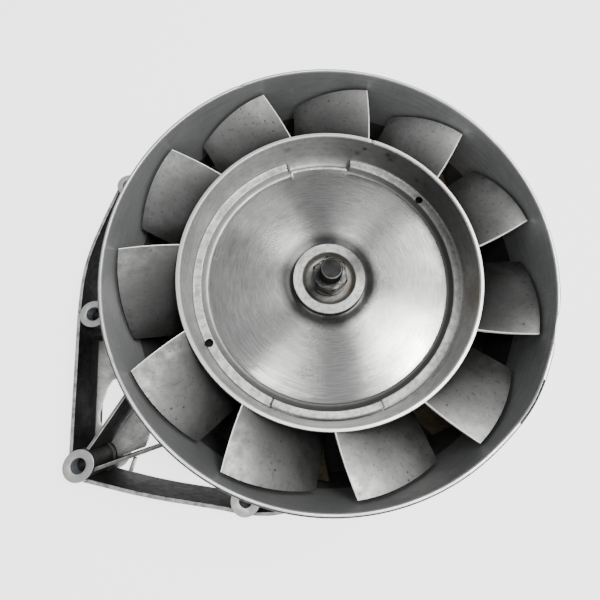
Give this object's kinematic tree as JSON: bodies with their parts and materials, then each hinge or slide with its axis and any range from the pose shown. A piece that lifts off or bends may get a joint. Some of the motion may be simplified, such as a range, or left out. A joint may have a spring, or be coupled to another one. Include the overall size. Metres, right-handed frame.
{
  "type": "generator cooling fan",
  "caption": "Axial cooling fan in a cast aluminium casing, with a bladed cup rotor on a nut-fastened shaft, stator vanes behind it and a ribbed side bracket.",
  "frame": {"origin": "centre of the bounding box on the plane that the rear feet rest on", "axes": "+Z along the shaft from the rear face to the intake, +Y towards the top of the picture, +X towards its right"},
  "size_m": [0.416, 0.3856, 0.128],
  "materials": {
    "cast_aluminium": "sand-cast, dull and slightly dirty",
    "machined_aluminium": "machined, satin with turning marks",
    "blade_aluminium": "cast, satin with fine pits",
    "dark_steel": "dark oxide"
  },
  "bodies": {
    "casing": {"casing_shell": "machined_aluminium", "stator_ring": "cast_aluminium", "stator_web": "cast_aluminium", "bearing_housing": "cast_aluminium", "shaft_bearing": "dark_steel", "stator_vane_1": "cast_aluminium", "stator_vane_2": "cast_aluminium", "stator_vane_3": "cast_aluminium", "stator_vane_4": "cast_aluminium", "stator_vane_5": "cast_aluminium", "stator_vane_6": "cast_aluminium", "stator_vane_7": "cast_aluminium", "stator_vane_8": "cast_aluminium", "corner_boss": "cast_aluminium", "side_boss": "cast_aluminium", "top_boss": "cast_aluminium", "low_boss": "cast_aluminium", "outer_wall_upper": "cast_aluminium", "outer_wall_lower": "cast_aluminium", "bottom_wall_left": "cast_aluminium", "bottom_wall_right": "cast_aluminium", "upper_rib": "cast_aluminium", "lower_rib": "cast_aluminium", "side_web": "cast_aluminium", "top_web": "cast_aluminium", "side_floor": "cast_aluminium", "corner_floor": "cast_aluminium", "tie_rib": "cast_aluminium"},
    "rotor": {"hub_cup": "machined_aluminium", "land_pad": "machined_aluminium", "blade_01": "blade_aluminium", "blade_02": "blade_aluminium", "blade_03": "blade_aluminium", "blade_04": "blade_aluminium", "blade_05": "blade_aluminium", "blade_06": "blade_aluminium", "blade_07": "blade_aluminium", "blade_08": "blade_aluminium", "blade_09": "blade_aluminium", "blade_10": "blade_aluminium", "blade_11": "blade_aluminium", "rotor_shaft": "dark_steel", "front_washer": "dark_steel", "front_nut": "dark_steel", "drive_pulley": "machined_aluminium", "rear_nut": "dark_steel"}
  },
  "joints": [
    {"name": "rotor_spin", "type": "hinge", "parent": "casing", "child": "rotor", "pos_m": [0.02, 0.0048, 0.05], "axis": [0, 0, 1], "continuous": true}
  ]
}
